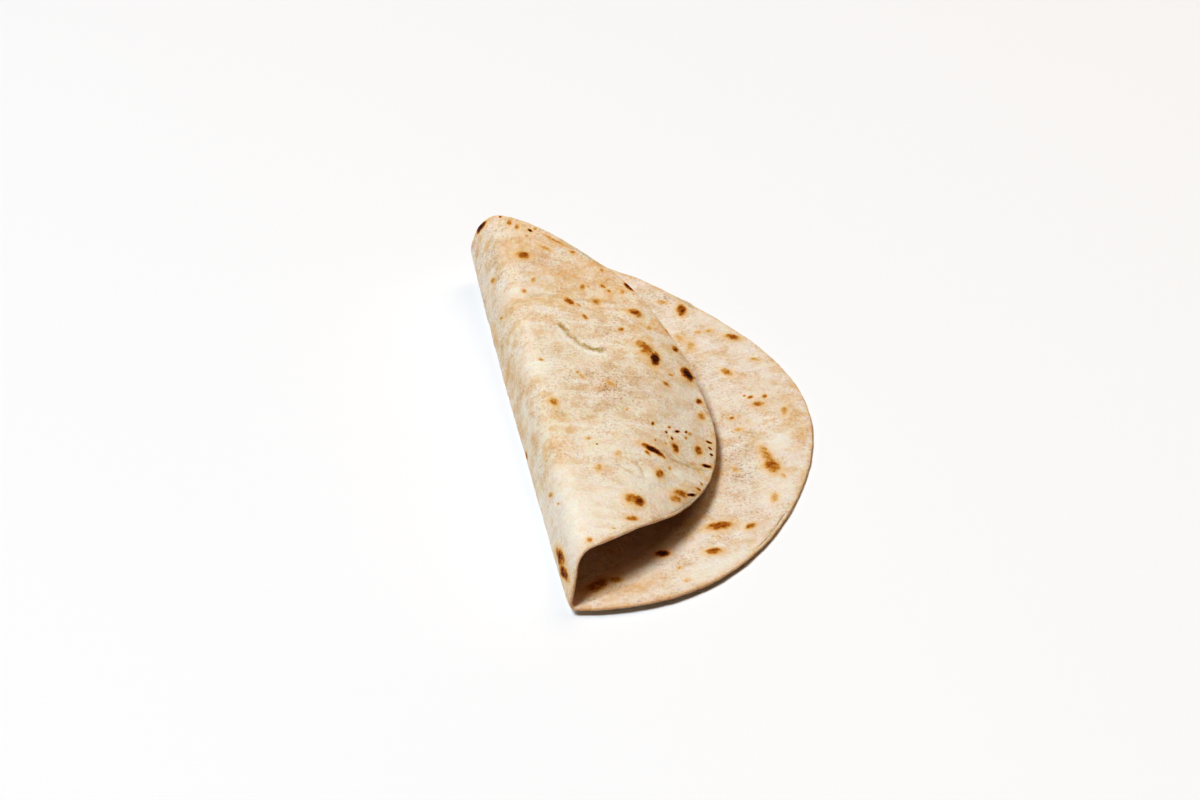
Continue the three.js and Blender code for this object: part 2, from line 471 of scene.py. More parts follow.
# %% [markdown]
# # Blisters and unevenness
# Steam lifts low blisters while the roti bakes, and their tops touch the griddle and brown. We weigh
# each blister's dome into a vertex group, and a Displace modifier pushes the surface out by it. More
# Displace modifiers, with cloud textures, give the slow unevenness of hand-rolled dough, its fine
# pebbled skin, and the shallow wrinkles that run across the flap. The wrinkles move both sides of the
# bread together, upwards, so it keeps its thickness. Their clouds are drawn out along an empty that is
# turned and stretched as the wrinkles are. Grain that is too small for the mesh comes later, as bump.

# %% Raise the blisters
OUTSIDE_BLISTERS = [  # x, y, reach along and across in mm, heading in degrees, height in mm
    (-79, 7, 9, 5, 80, 0.8),
    (-93, -2, 6, 4, 80, 0.7),
    (-58, 41, 6, 5, 0, 0.7),
    (-81, 30, 6, 5, -30, 0.6),
    (-46, 70, 6, 5, 0, 0.6),
    (-35, 95, 7, 4, 40, 0.6),
    (-66, -46, 8, 4, 45, 0.8),
    (-50, -72, 9, 6, -10, 0.9),
    (-70, -67, 8, 6, 0, 0.7),
    (-64, -58, 5, 5, 0, 0.5),
    (-36, -16, 6, 5, 0, 0.5),
    (-42, -54, 5, 5, 0, 0.5),
    (-58, -9, 8, 6, 30, 0.6),
    (-12, -83, 9, 5, -68, 0.7),
]
INSIDE_BLISTERS = [
    (64, 64, 6, 5, 0, 0.7),
    (80, 44, 7, 5, 0, 0.7),
    (61, 41, 9, 7, 20, 0.6),
    (74, 22, 6, 5, 0, 0.6),
    (80, 4, 8, 5, -10, 0.6),
    (79, -33, 9, 6, -80, 0.9),
    (76, -54, 7, 6, -40, 0.6),
    (53, -66, 10, 5, 10, 0.9),
    (63, -68, 5, 4, 30, 0.6),
    (48, -79, 7, 5, 10, 0.7),
    (30, -77, 7, 5, 0, 0.7),
    (9, -86, 10, 5, 15, 0.7),
]


def oval_place(flat, x, y, along, across, heading):
    """Places measured from an oval's middle, along and across it, in its own radii."""
    angle = math.radians(heading)
    right = flat[:, 0] / MM - x
    back = flat[:, 1] / MM - y
    first = (right * math.cos(angle) + back * math.sin(angle)) / along
    second = (back * math.cos(angle) - right * math.sin(angle)) / across
    return first, second


def domes(outside_ovals, inside_ovals):
    """For each vertex, the highest of the soft domes that stand on the ovals of its side."""
    heights = np.zeros(len(FLAT))
    for ovals, side in ((outside_ovals, OUTSIDE), (inside_ovals, ~OUTSIDE)):
        for *oval, height in ovals:
            reach = np.hypot(*oval_place(FLAT, *oval))
            heights = np.maximum(heights, side * height * (1 - smooth_step(reach)))
    return heights


def cloud_texture(name, size, depth):
    """A cloud texture whose clouds are about that many units across."""
    texture = bpy.data.textures.new(name, "CLOUDS")
    texture.noise_scale = size
    texture.noise_depth = depth
    return texture


WRINKLE_TURN = math.radians(-16)
WRINKLE_LENGTH = 26 * MM
WRINKLE_WIDTH = 7 * MM
WRINKLE_HEIGHT = 1.3 * MM
WRINKLE_FADE = 22 * MM
WALL_HEIGHT = 14 * MM
LOWER_WRINKLES = 0.45  # share of the flap's wrinkles that the lower layer has
RIM_WRINKLES = 0.3  # above 0, so that the rim wrinkles a little too
SLOW_SIZE = 9 * MM
SLOW_HEIGHT = 0.45 * MM
PEBBLE_SIZE = 2.6 * MM
PEBBLE_HEIGHT = 0.3 * MM


def wrinkle(piece):
    """Moves the flap up and down in shallow wrinkles, and the lower layer's upper side less."""
    on_flap = smooth_step((CREASE_X - WALL_HEIGHT - FLAT[:, 0]) / WRINKLE_FADE)
    on_lower = LOWER_WRINKLES * smooth_step((FLAT[:, 0] - CREASE_X) / WRINKLE_FADE) * ~OUTSIDE
    rim_fade = smooth_step(FROM_RIM / RIM_BAND + RIM_WRINKLES)
    weigh(piece, "wrinkled", np.maximum(on_flap, on_lower) * rim_fade)
    bpy.ops.object.empty_add(rotation=(0, 0, WRINKLE_TURN))
    guide = bpy.context.object
    guide.scale = (WRINKLE_LENGTH, WRINKLE_WIDTH, WRINKLE_WIDTH)
    bpy.context.view_layer.update()
    add_modifier(
        piece,
        "DISPLACE",
        strength=WRINKLE_HEIGHT,
        mid_level=0.5,
        direction="Z",
        texture=cloud_texture("wrinkles", 1, 1),
        texture_coords="OBJECT",
        texture_coords_object=guide,
        vertex_group="wrinkled",
    )
    bpy.data.objects.remove(guide)


def roughen(piece):
    """Pushes the blisters out, and makes the skin uneven."""
    rim_fade = smooth_step(FROM_RIM / RIM_BAND)
    weigh(piece, "blisters", domes(OUTSIDE_BLISTERS, INSIDE_BLISTERS) * rim_fade)
    add_modifier(piece, "DISPLACE", strength=1 * MM, mid_level=0, vertex_group="blisters")
    for name, size, height in (
        ("slow_unevenness", SLOW_SIZE, SLOW_HEIGHT),
        ("pebbled_skin", PEBBLE_SIZE, PEBBLE_HEIGHT),
    ):
        add_modifier(
            piece,
            "DISPLACE",
            strength=height,
            mid_level=0.5,
            texture=cloud_texture(name, size, 1),
            texture_coords="LOCAL",
        )
    places = vertex_places(piece.data)
    places[:, 2] = np.maximum(places[:, 2], 0)  # nothing goes below the table
    set_vertex_places(piece.data, places)
    print("blistered size in mm", (np.ptp(places, axis=0) / MM).round(2))


wrinkle(roti)
roughen(roti)
roti.select_set(True)  # adding the guide deselected it
bpy.ops.object.shade_smooth()
print("smooth faces", sum(face.use_smooth for face in roti.data.polygons))

# %% [markdown]
# # Marks of folding
# Where the flap was bent it kept a few marks: a short curved groove, a long shallow wrinkle, and a few
# fine lines near the rim. Each is a stroke on the flat sheet. A vertex group with a negative Displace
# presses it in, and every vertex keeps its distance across the nearest stroke for the shader.

# %% Press the marks in
MARKS = [  # half width in mm, depth from 0 to 1, and the points of each stroke
    (1.4, 1.0, [(-50.5, 27.5), (-52.5, 21.5), (-54.5, 17), (-58, 12.5), (-62, 11)]),
    (1.2, 0.3, [(-44, 47), (-50, 46.5), (-57, 42.5), (-66, 41.5), (-77, 37)]),
    (0.7, 0.45, [(-68, -46), (-72, -49), (-77, -50), (-81, -51), (-86, -51)]),
    (0.6, 0.4, [(-73, -45), (-77, -47.5), (-81, -48.5), (-87, -48.5)]),
    (0.7, 0.45, [(-50, -54), (-53.5, -58), (-55, -60.5), (-57, -61), (-57.5, -57), (-57, -53)]),
]
MARK_REACH = 4  # how far from a stroke a place is kept, in mm
MARK_END = 2  # over how many mm past its end a stroke fades
MARK_PRESS = 0.35 * MM
PRESS_WIDTH = 1.5  # where the press ends, in half widths
FAR_AWAY = 1e9
OUT_OF_REACH = 9.0  # stands for a place inside no stroke and no spot


def across_segment(flat, start, end):
    """Signed distance across one segment in mm, and how far past its ends a place is."""
    start, end = np.array(start), np.array(end)
    length = np.linalg.norm(end - start)
    direction = (end - start) / length
    away = flat / MM - start
    along = away @ direction
    across = away[:, 0] * direction[1] - away[:, 1] * direction[0]
    past_end = np.maximum(np.maximum(-along, along - length), 0)
    return across, past_end


def mark_layers(flat, outside):
    """For each vertex, its distance across the nearest stroke in half widths, and that stroke's depth."""
    nearest = np.full(len(flat), FAR_AWAY)
    place = np.full(len(flat), OUT_OF_REACH)
    depth = np.zeros(len(flat))
    for half_width, strength, points in MARKS:
        for start, end in zip(points, points[1:]):
            across, past_end = across_segment(flat, start, end)
            distance = np.hypot(across, past_end)
            is_nearest = outside & (distance < nearest) & (distance < MARK_REACH)
            nearest[is_nearest] = distance[is_nearest]
            place[is_nearest] = across[is_nearest] / half_width
            depth[is_nearest] = strength * (1 - smooth_step(past_end[is_nearest] / MARK_END))
    return place, depth


def write_layer(mesh, name, kind, values):
    """Stores one value or vector for each vertex."""
    stored = mesh.attributes.new(name, kind, "POINT")
    key = "vector" if kind == "FLOAT_VECTOR" else "value"
    stored.data.foreach_set(key, np.asarray(values, np.float32).ravel())


def press_marks(piece):
    """Presses the strokes into the surface."""
    place, depth = mark_layers(FLAT, OUTSIDE)
    weigh(piece, "pressed", depth * (1 - smooth_step(np.abs(place) / PRESS_WIDTH)))
    add_modifier(piece, "DISPLACE", strength=-MARK_PRESS, mid_level=0, vertex_group="pressed")
    write_layer(piece.data, "mark_place", "FLOAT", place)
    write_layer(piece.data, "mark_depth", "FLOAT", depth)
    print("vertices on marks:", int((depth > 0).sum()))


press_marks(roti)

# %% [markdown]
# # Where it browned
# Every spot is an oval with a heat: a faint golden one has about 0.4, a burnt one more than 1. A
# vertex colour would blur the smallest spots, because they are as small as the mesh's squares. So
# each vertex keeps its place measured inside the nearest oval, in that oval's own radii. That is an
# even measure across each oval, so the shader can draw its edge exactly between the vertices.

# %% List the spots
OUTSIDE_SPOTS = [  # x, y, radius along and across in mm, heading in degrees, heat
    (-33.2, 98.6, 4.1, 1.9, 31, 1.3),
    (-43.5, 94, 0.7, 0.5, 45, 0.8),
    (-53, 84, 1.2, 0.7, 58, 1.2),
    (-55, 84.5, 1.0, 0.8, -45, 0.45),
    (-51, 81, 0.9, 0.6, 4, 0.35),
    (-46, 90, 1.9, 1.2, -70, 0.48),
    (-48.5, 87, 1.9, 1.1, -70, 0.42),
    (-60, 78.5, 4.4, 0.9, 49, 0.42),
    (-62.5, 75.5, 3.6, 0.9, 49, 0.38),
    (-56, 73, 3.4, 1.1, 45, 0.34),
    (-46.5, 69.5, 2.8, 2.0, 23, 0.66),
    (-31, 68, 2.6, 1.2, 52, 0.4),
    (-42, 50, 1.6, 1.0, 70, 0.38),
    (-47, 55.5, 1.6, 1.0, -60, 0.35),
    (-66.5, 69.5, 1.6, 1.0, 44, 0.45),
    (-65, 49, 1.8, 1.3, -60, 0.46),
    (-73, 48, 1.6, 0.8, 58, 0.5),
    (-74.5, 45, 1.3, 0.8, 62, 0.55),
    (-75, 57, 1.4, 0.9, 83, 0.42),
    (-79.5, 43.5, 1.7, 0.9, -70, 0.4),
    (-57.5, 41, 2.8, 1.5, 62, 0.76),
    (-60.5, 39, 1.6, 0.7, 50, 0.4),
    (-68, 40, 2.4, 1.9, -68, 0.43),
    (-83, 46.2, 3.0, 1.1, 68, 1.1),
    (-81, 30.5, 3.0, 1.9, 52, 0.75),
    (-61, 31, 2.0, 1.0, 79, 0.55),
    (-72.5, 21, 1.6, 1.2, -74, 0.55),
    (-84, 22, 1.8, 1.0, -59, 0.4),
    (-77.8, 12, 2.9, 2.3, -80, 0.52),
    (-79, 8.5, 3.9, 2.7, -75, 0.6),
    (-81, 4, 3.5, 2.0, -66, 1.15),
    (-91.5, 21.5, 1.4, 0.6, 68, 0.5),
    (-92, 11.5, 2.0, 1.4, -65, 0.95),
    (-93.5, -1.5, 3.4, 2.6, 80, 1.5),
    (-97, -2, 1.0, 0.6, -21, 0.8),
    (-82, -9, 1.6, 1.1, 48, 0.62),
    (-85.5, -3.5, 1.2, 0.9, 8, 0.45),
    (-95, -14.5, 1.8, 1.2, -53, 0.9),
    (-93, -23, 2.3, 1.8, -49, 0.48),
    (-36.5, -16, 2.4, 1.5, 78, 0.48),
    (-38, 9, 1.3, 0.8, 62, 0.4),
    (-28.5, 47, 2.2, 0.7, 50, 0.38),
    (-59.5, -10, 2.3, 1.0, 59, 0.33),
    (-50.5, -3, 1.9, 1.0, 78, 0.3),
    (-49.5, -0.5, 0.8, 0.7, -59, 0.38),
    (-61.5, -24.5, 0.8, 0.6, -51, 0.35),
    (-43.5, -37.5, 1.0, 0.8, -39, 0.35),
    (-45.5, -41.5, 0.4, 0.3, -69, 1.0),
    (-51.5, -47.5, 1.6, 1.3, -29, 0.3),
    (-65, -46, 4.6, 1.3, 43, 1.15),
    (-62.5, -47.5, 1.4, 0.8, 66, 0.7),
    (-75.5, -42.5, 2.6, 1.6, -75, 0.8),
    (-86, -41.5, 2.8, 1.6, -68, 0.74),
    (-64, -58, 2.5, 1.7, -68, 0.7),
    (-69.5, -54, 1.2, 0.8, -62, 0.35),
    (-42.5, -54, 2.2, 1.6, -65, 0.31),
    (-49.4, -71.8, 3.2, 2.5, 82, 0.55),
    (-51.5, -73, 2.7, 2.1, -62, 0.8),
    (-47, -81.5, 2.4, 1.5, -5, 0.5),
    (-70.5, -66, 3.2, 2.2, -5, 0.66),
    (-75, -65.5, 2.4, 0.6, -18, 1.5),
    (-67.5, -69, 2.6, 1.8, 0, 0.48),
    (-79.5, -62, 1.4, 0.7, 21, 0.6),
    (-82, -59, 1.0, 0.7, 90, 0.5),
    (-21.5, -55, 3.0, 1.0, 47, 0.42),
    (-24, -63.5, 1.0, 0.5, 57, 0.35),
    (-29.5, -90, 1.5, 1.0, 80, 0.45),
    (-39, -86, 0.8, 0.5, 11, 0.35),
    (-13.5, -80.5, 5.8, 2.4, 76, 0.92),
    (-12.5, -88.5, 5.2, 2.0, 80, 0.88),
    (-13, -20, 2.2, 0.9, -88, 0.75),
    (-69.5, -31.5, 0.9, 0.6, -66, 0.95),
    (-76, -32.5, 0.8, 0.5, -38, 0.6),
    (-74, -35, 0.6, 0.5, -64, 1.2),
    (-79, -34, 1.1, 0.6, -14, 1.5),
    (-83, -33.5, 0.8, 0.5, -42, 1.1),
    (-84.5, -34, 1.4, 0.8, -32, 0.4),
    (-75.5, -38, 0.9, 0.6, -87, 1.0),
    (-68, -40, 0.9, 0.5, -65, 0.5),
    (-72, -41, 0.8, 0.5, -60, 0.42),
    (-82, -36.5, 1.2, 0.6, -59, 0.42),
    (-92.5, -36, 1.3, 0.7, 12, 1.4),
    (-92, -39, 0.9, 0.5, 37, 1.25),
    (-91.5, -42.5, 0.8, 0.6, -36, 1.4),
    (-87.5, -48.5, 2.0, 0.8, 2, 1.35),
]
INSIDE_SPOTS = [
    (64, 63, 3.3, 1.9, 84, 0.9),
    (57, 69, 2.2, 1.2, -21, 0.42),
    (68, 49, 1.6, 1.2, 0, 0.35),
    (72.5, 49, 1.4, 1.2, 0, 0.4),
    (63.5, 41, 3.0, 1.7, 78, 0.36),
    (60, 46.5, 2.4, 1.3, -64, 0.3),
    (80.5, 43.5, 3.1, 1.9, -19, 0.6),
    (86.5, 29, 2.2, 1.0, -25, 0.35),
    (74, 22.5, 3.0, 2.0, -66, 0.52),
    (79.5, 5, 1.4, 0.9, 24, 0.66),
    (85, 5, 1.4, 0.9, 64, 0.62),
    (81.5, 1, 2.4, 1.4, 0, 0.54),
    (77.5, 6.5, 0.7, 0.5, 43, 0.7),
    (90.5, -4.5, 2.8, 1.4, 76, 0.38),
    (70, -5.5, 1.4, 0.9, 32, 0.5),
    (71, -12.5, 2.0, 1.3, 18, 0.3),
    (77.5, -26.5, 3.0, 2.0, 82, 0.4),
    (78, -30.5, 3.6, 2.2, 86, 0.46),
    (78.5, -36, 3.8, 2.7, -76, 0.68),
    (65, -35.5, 1.7, 1.2, -68, 0.32),
    (81.5, -41.5, 1.5, 1.0, -70, 0.35),
    (75.5, -53.5, 3.1, 1.7, 72, 0.34),
    (53, -65.5, 5.0, 2.4, 4, 0.72),
    (63.5, -67.5, 2.5, 1.5, 38, 0.6),
    (48, -78.5, 3.0, 1.8, -1, 0.72),
    (30, -77, 2.5, 1.8, 10, 1.25),
    (5, -89.5, 5.4, 2.6, 28, 0.62),
    (11.5, -88, 3.4, 1.5, 7, 0.5),
    (36, -92, 1.5, 1.0, 45, 0.28),
    (34.5, -85, 1.1, 0.7, 63, 0.33),
]
print("spots that show:", len(OUTSIDE_SPOTS), "outside and", len(INSIDE_SPOTS), "inside")

# %% [markdown]
# The underside and the lining of the fold aren't seen from the front, but they browned on the same
# griddle. Their spots are drawn at random with a fixed seed. They are about as large as those that
# show, and each one is kept clear of the others.

# %% Add spots where the bread is hidden
HIDDEN_SEED = 11
HIDDEN_REACH = 94
HIDDEN_GAP = 5
SMALLEST_SPOT = 0.8
SPOT_GROWTH = 2.6
SMALL_SPOTS = 1.6  # a power above 1 draws more small spots than large ones
SPOT_FLATNESS = (0.5, 0.85)
HIDDEN_HEATS = (0.4, 1.1)
UNDERSIDE = {"from": 0, "to": HIDDEN_REACH, "count": 46}
FOLD_LINING = {"from": -HIDDEN_REACH, "to": -6, "count": 34}


def hidden_spots(area, draw):
    """Random ovals in one half of the disc, that keep clear of each other."""
    spots = []
    while len(spots) < area["count"]:
        x = draw.uniform(area["from"], area["to"])
        y = draw.uniform(-HIDDEN_REACH, HIDDEN_REACH)
        along = SMALLEST_SPOT + SPOT_GROWTH * draw.random() ** SMALL_SPOTS
        is_clear = all(math.hypot(x - spot[0], y - spot[1]) > HIDDEN_GAP + along for spot in spots)
        if math.hypot(x, y) < HIDDEN_REACH and is_clear:
            across = along * draw.uniform(*SPOT_FLATNESS)
            heading = draw.uniform(0, 180)
            spots.append((x, y, along, across, heading, draw.uniform(*HIDDEN_HEATS)))
    return spots


hidden_draw = np.random.default_rng(HIDDEN_SEED)
OUTSIDE_SPOTS += hidden_spots(UNDERSIDE, hidden_draw)
INSIDE_SPOTS += hidden_spots(FOLD_LINING, hidden_draw)
print("spots in all:", len(OUTSIDE_SPOTS), "outside and", len(INSIDE_SPOTS), "inside")

# %% [markdown]
# Between two ovals that lie close together the measure would jump from one to the other, and a false
# spot would show there. So the spots are dealt out to a few sets of layers, as cards are, and no two
# spots of one set lie near each other.

# %% Write the spots onto the mesh
SPOT_SETS = 5
HALO = 1.0  # how far a spot's halo goes past its edge, in the spot's own radii
MESH_STEP = 1.3  # about the side of the mesh's largest squares, in mm


def gap_between(first, second):
    """Distance in mm between the halos of two spots."""
    distance = math.hypot(first[0] - second[0], first[1] - second[1])
    return distance - (1 + HALO) * (first[2] + second[2])


def deal_out(spots):
    """Deals the spots out, each to the first set in which no other spot is near."""
    sets = [[] for _ in range(SPOT_SETS)]
    for spot in sorted(spots, key=lambda spot: -spot[2]):
        gaps = [min((gap_between(spot, other) for other in dealt), default=FAR_AWAY) for dealt in sets]
        clear = [number for number, gap in enumerate(gaps) if gap > 2 * MESH_STEP]
        sets[clear[0] if clear else int(np.argmax(gaps))].append(spot)
    return sets


def spot_layers(flat, outside, outside_spots, inside_spots):
    """For each vertex, its place in the nearest spot, and that spot's heat, which is 0 past its halo."""
    nearest = np.full(len(flat), FAR_AWAY)
    place = np.full((len(flat), 3), OUT_OF_REACH)
    heat = np.zeros(len(flat))
    for spots, side in ((outside_spots, outside), (inside_spots, ~outside)):
        for x, y, along, across, heading, spot_heat in spots:
            first, second = oval_place(flat, x, y, along, across, heading)
            size = math.sqrt(along * across)
            past_edge = (np.hypot(first, second) - 1) * size
            is_nearest = side & (past_edge < nearest)
            nearest[is_nearest] = past_edge[is_nearest]
            place[is_nearest] = np.column_stack((first, second, np.zeros(len(flat))))[is_nearest]
            heat[is_nearest] = spot_heat * (past_edge[is_nearest] < HALO * size + MESH_STEP)
    return place, heat


for number, spot_set in enumerate(zip(deal_out(OUTSIDE_SPOTS), deal_out(INSIDE_SPOTS))):
    spot_place, spot_heat = spot_layers(FLAT, OUTSIDE, *spot_set)
    write_layer(roti.data, f"spot_place_{number}", "FLOAT_VECTOR", spot_place)
    write_layer(roti.data, f"spot_heat_{number}", "FLOAT", spot_heat)
    print("set", number, "has", len(spot_set[0]), "spots outside and", len(spot_set[1]), "inside")

# %% [markdown]
# Besides the spots, wide soft parts of the bread have their own tone. Some are toasted golden: a band across
# the flap, patches by the crease, and the thin rim. One band on the lower layer, beside the flap's right
# edge, is partly painted shadow. The very edge of the rim is browned, partly as toasting and partly as
# painted shade. Some parts are paler with flour, and some are duller. The inside of the fold and the lower
# layer under the flap get a warm tone that is painted shade. They are broad, so a value at each vertex is
# enough.

# %% Tone the wide soft patches
OUTSIDE_TONES = {  # x, y, reach along and across in mm, heading in degrees, strength
    "toasted": [
        (-60, 57, 26, 11, 165, 1.0),
        (-74, 50, 16, 10, 100, 0.8),
        (-47, 76, 22, 13, 155, 1.0),
        (-35, 44, 15, 9, 60, 0.7),
        (-22, 21, 17, 8, 82, 1.0),
        (-19, 48, 16, 6, 85, 0.8),
        (-16, -6, 14, 5, 88, 0.8),
        (-27, 4, 10, 6, 60, 0.9),
        (-22, -24, 9, 6, 70, 0.7),
        (-33, -23, 8, 5, 20, 0.6),
        (-29, -42, 12, 7, 70, 0.8),
        (-34, -64, 9, 6, 20, 0.4),
        (-58, -9, 12, 5, 150, 0.5),
        (-80, 8, 9, 6, 100, 0.5),
        (-14, -84, 14, 5, 80, 0.5),
        (-76, -42, 8, 6, 0, 0.4),
    ],
    "floury": [
        (-30, -74, 42, 26, 100, 1.0),
        (-58, -66, 22, 16, 20, 0.8),
        (-76, -57, 12, 8, 0, 0.6),
        (-84, -26, 26, 10, 92, 0.7),
        (-50, -44, 20, 14, 0, 0.6),
        (-38, 6, 12, 9, 60, 0.9),
        (-42, 52, 24, 6, 164, 0.8),
        (-58, 11, 11, 5, 130, 1.0),
        (-12, -60, 30, 9, 85, 0.8),
    ],
    "dusky": [
        (-57, -12, 28, 20, 120, 0.9),
        (-52, 66, 16, 9, 165, 0.45),
        (-38, 80, 20, 9, 110, 0.4),
        (-70, 24, 14, 12, 90, 0.5),
    ],
}
INSIDE_TONES = {
    "toasted": [
        (62, 42, 9, 6, 110, 0.7),
        (73, 50, 10, 7, 60, 0.4),
        (72, -11, 8, 5, 10, 0.6),
        (69, -3, 6, 5, 0, 0.4),
        (94, -14, 20, 6, 92, 0.8),
        (20, -92, 24, 7, 10, 0.8),
        (86, 2, 20, 9, 90, 0.4),
        # This band beside the flap's right edge is partly painted shadow, the flap's shadow made warm, and
        # partly tan flecks.
        (58, -30, 34, 6, 86, 0.6),
    ],
    "floury": [
        (78, 54, 14, 10, 120, 0.6),
        (78, -52, 16, 12, 60, 0.7),
        (50, -86, 26, 9, 25, 1.0),
        (84, -24, 14, 8, 80, 0.6),
    ],
    "dusky": [
        (67, -34, 24, 11, 75, 1.0),
        (57, 70, 12, 9, 110, 0.7),
        (66, 24, 20, 8, 110, 0.5),
        (52, -62, 18, 9, 20, 0.4),
    ],
}
RIM_TOAST = 0.7
RIM_TOAST_REACH = 3 * MM
# The browned edge of the rim is partly toasting and partly painted shade, the dark line along the rim's edge.
RIM_EDGE = 0.8 * MM
FLAP_RIM_SHARE = 0.4  # how brown the flap's rim is, where the lower layer's is 1
# The inside of the fold and the lower layer under the flap get a warm tone that is painted shade, where the
# fold's shade falls.
LINING_SHADE_FADE = 12 * MM
UNDER_FLAP_SHADE = (2, 8, 86, 50, 90)  # x, y, reach along and across in mm, heading
UNDER_FLAP_SHADE_SHARE = 0.9


def tone_layer(tone):
    """How strongly each vertex has one tone."""
    return domes(OUTSIDE_TONES[tone], INSIDE_TONES[tone])


def lining_shade_layer(flat, outside):
    """How much painted shade each vertex of the inside gets: in the fold, and under the flap less than in it.
    """
    in_fold_shade = smooth_step((CREASE_X - flat[:, 0]) / LINING_SHADE_FADE)
    under_flap_shade = UNDER_FLAP_SHADE_SHARE * (1 - smooth_step(np.hypot(*oval_place(flat, *UNDER_FLAP_SHADE))))
    return ~outside * np.maximum(in_fold_shade, under_flap_shade)


toasted_rim = RIM_TOAST * (1 - smooth_step(FROM_RIM / RIM_TOAST_REACH))
# the rim's brown edge: partly toasting, partly painted shade along the edge
rim_brown_and_shade = (1 - smooth_step(FROM_RIM / RIM_EDGE)) * np.where(FLAT[:, 0] < CREASE_X, FLAP_RIM_SHARE, 1)
for layer_name, values in (
    ("toasted", np.maximum(toasted_rim, tone_layer("toasted"))),
    ("floury", tone_layer("floury")),
    ("dusky", tone_layer("dusky")),
    ("lining_shade", lining_shade_layer(FLAT, OUTSIDE)),
    ("rim", rim_brown_and_shade),
    ("outside_share", OUTSIDE),
):
    write_layer(roti.data, layer_name, "FLOAT", values)
    print(layer_name, "has a mean strength of", round(float(np.mean(values)), 3))

# %% [markdown]
# # The material
# Baked wholemeal dough is cream with paler floury places and warmer ones, and with a fine fleck of
# bran. Everything is made from noise at the sizes seen in the real skin. The spots go from gold at
# their edge to brown and nearly black in their middle, so their heat runs through a colour ramp.

# %% Small helpers for the node tree
bread = bpy.data.materials.new("baked_dough")
bread.use_nodes = True
tree = bread.node_tree
shader = tree.nodes["Principled BSDF"]


def linear(red, green, blue):
    """A screen colour, from 0 to 255, turned by the sRGB curve into the light values that nodes use."""
    shares = (red / 255, green / 255, blue / 255)
    return tuple(s / 12.92 if s <= 0.04045 else ((s + 0.055) / 1.055) ** 2.4 for s in shares)


def feed(socket, value):
    """Links a socket to another node's output, or sets its value."""
    if isinstance(value, bpy.types.NodeSocket):
        tree.links.new(value, socket)
    else:
        socket.default_value = value


def calculate(operation, first, second=0.0, third=0.0):
    """One Math node."""
    node = tree.nodes.new("ShaderNodeMath")
    node.operation = operation
    for socket, value in zip(node.inputs, (first, second, third)):
        feed(socket, value)
    return node.outputs[0]


def times(first, second):
    """One value scaled by another."""
    return calculate("MULTIPLY", first, second)


def spread(value, low, high, to_low=0.0, to_high=1.0):
    """Spreads a value from one range to another, and holds it at the ends."""
    node = tree.nodes.new("ShaderNodeMapRange")
    for socket, number in zip(node.inputs, (value, low, high, to_low, to_high)):
        feed(socket, number)
    return node.outputs[0]


def mix_colours(share, first, second):
    """Blends two colours."""
    node = tree.nodes.new("ShaderNodeMix")
    node.data_type = "RGBA"
    feed(node.inputs["Factor"], share)
    for name, colour in (("A", first), ("B", second)):
        socket = next(s for s in node.inputs if s.name == name and s.type == "RGBA")
        feed(socket, (*colour, 1) if isinstance(colour, tuple) else colour)
    return next(s for s in node.outputs if s.type == "RGBA")


def noise(size, detail=2.0, roughness=0.5, where=None):
    """A noise texture whose lumps are about that many metres across."""
    node = tree.nodes.new("ShaderNodeTexNoise")
    node.inputs["Scale"].default_value = 1 / size
    node.inputs["Detail"].default_value = detail
    node.inputs["Roughness"].default_value = roughness
    tree.links.new(where or object_place, node.inputs["Vector"])
    return node.outputs["Fac"]


def layer(name, output="Fac"):
    """Reads a value stored on the mesh."""
    node = tree.nodes.new("ShaderNodeAttribute")
    node.attribute_name = name
    return node.outputs[output]


object_place = tree.nodes.new("ShaderNodeTexCoord").outputs["Object"]
print("material", bread.name, "starts from", len(tree.nodes), "nodes")

# %% [markdown]
# # The dough
# The real skin has layers: cream dough, golden patches, dull mottling, flour, toasted parts and bran. Painted
# shade inside the fold and along the rim is laid with the toasted parts.
# So each is laid over the last one, as thin paint would be: a colour, and a mask that says how much of
# it shows. A mask is noise, a value stored on the mesh, or both. An image would be quicker, but it
# would blur close up. Noise doesn't.

# %% Colour the dough
CREAM = linear(235, 222, 203)
PALE_PINK = linear(232, 219, 206)
GOLDEN = linear(232, 194, 136)
DUSKY = linear(200, 176, 150)
FLOUR = linear(240, 235, 227)
TOASTED = linear(217, 174, 112)
# warm painted shade for the inside of the fold and the lower layer under the flap
LINING_SHADE = linear(222, 158, 96)
# the rim's brown edge: partly toasting, partly painted shade
RIM_BROWN_AND_SHADE = linear(216, 166, 100)
BRAN = linear(150, 102, 62)
GROOVE = linear(168, 138, 58)
STREAK_HEADING = math.radians(17)
STREAK_ROUGHNESS = 0.6
STREAK_EDGE = (0.5, 0.64)
NOISE_SHIFT = (0.3, 0.2, 0.1)  # so that two noises of nearly one size don't fall together
GOLDEN_INSIDE = 0.6
GOLDEN_OUTSIDE = 0.8
MOTTLE_MORE = 0.5  # how much stronger the mottling is in the dusky parts
DUSKY_SHARE = 0.25
STREAK_SHARE = 0.55
TOASTED_SHARE = 0.85
LINING_SHADE_SHARE = 0.5
RIM_BROWN_AND_SHADE_SHARE = 0.4
GRAIN_SHARE = 0.3
BRAN_MORE = 0.35  # how many more flecks of bran the dusky parts show


def lay(colour, tone, mask, share):
    """Lays a tone over a colour where the mask shows."""
    return mix_colours(times(mask, share), colour, tone)


def patches(size, start, full, least=0.0, most=1.0, detail=2, roughness=0.5, where=None):
    """Noise cut into patches: least up to one value of the noise, and most from a higher one on."""
    return spread(noise(size, detail, roughness, where), start, full, least, most)


def by_tone(name, without, within):
    """A number that goes from one value to another as one of the mesh's tones gets stronger."""
    return spread(layer(name), 0, 1, without, within)


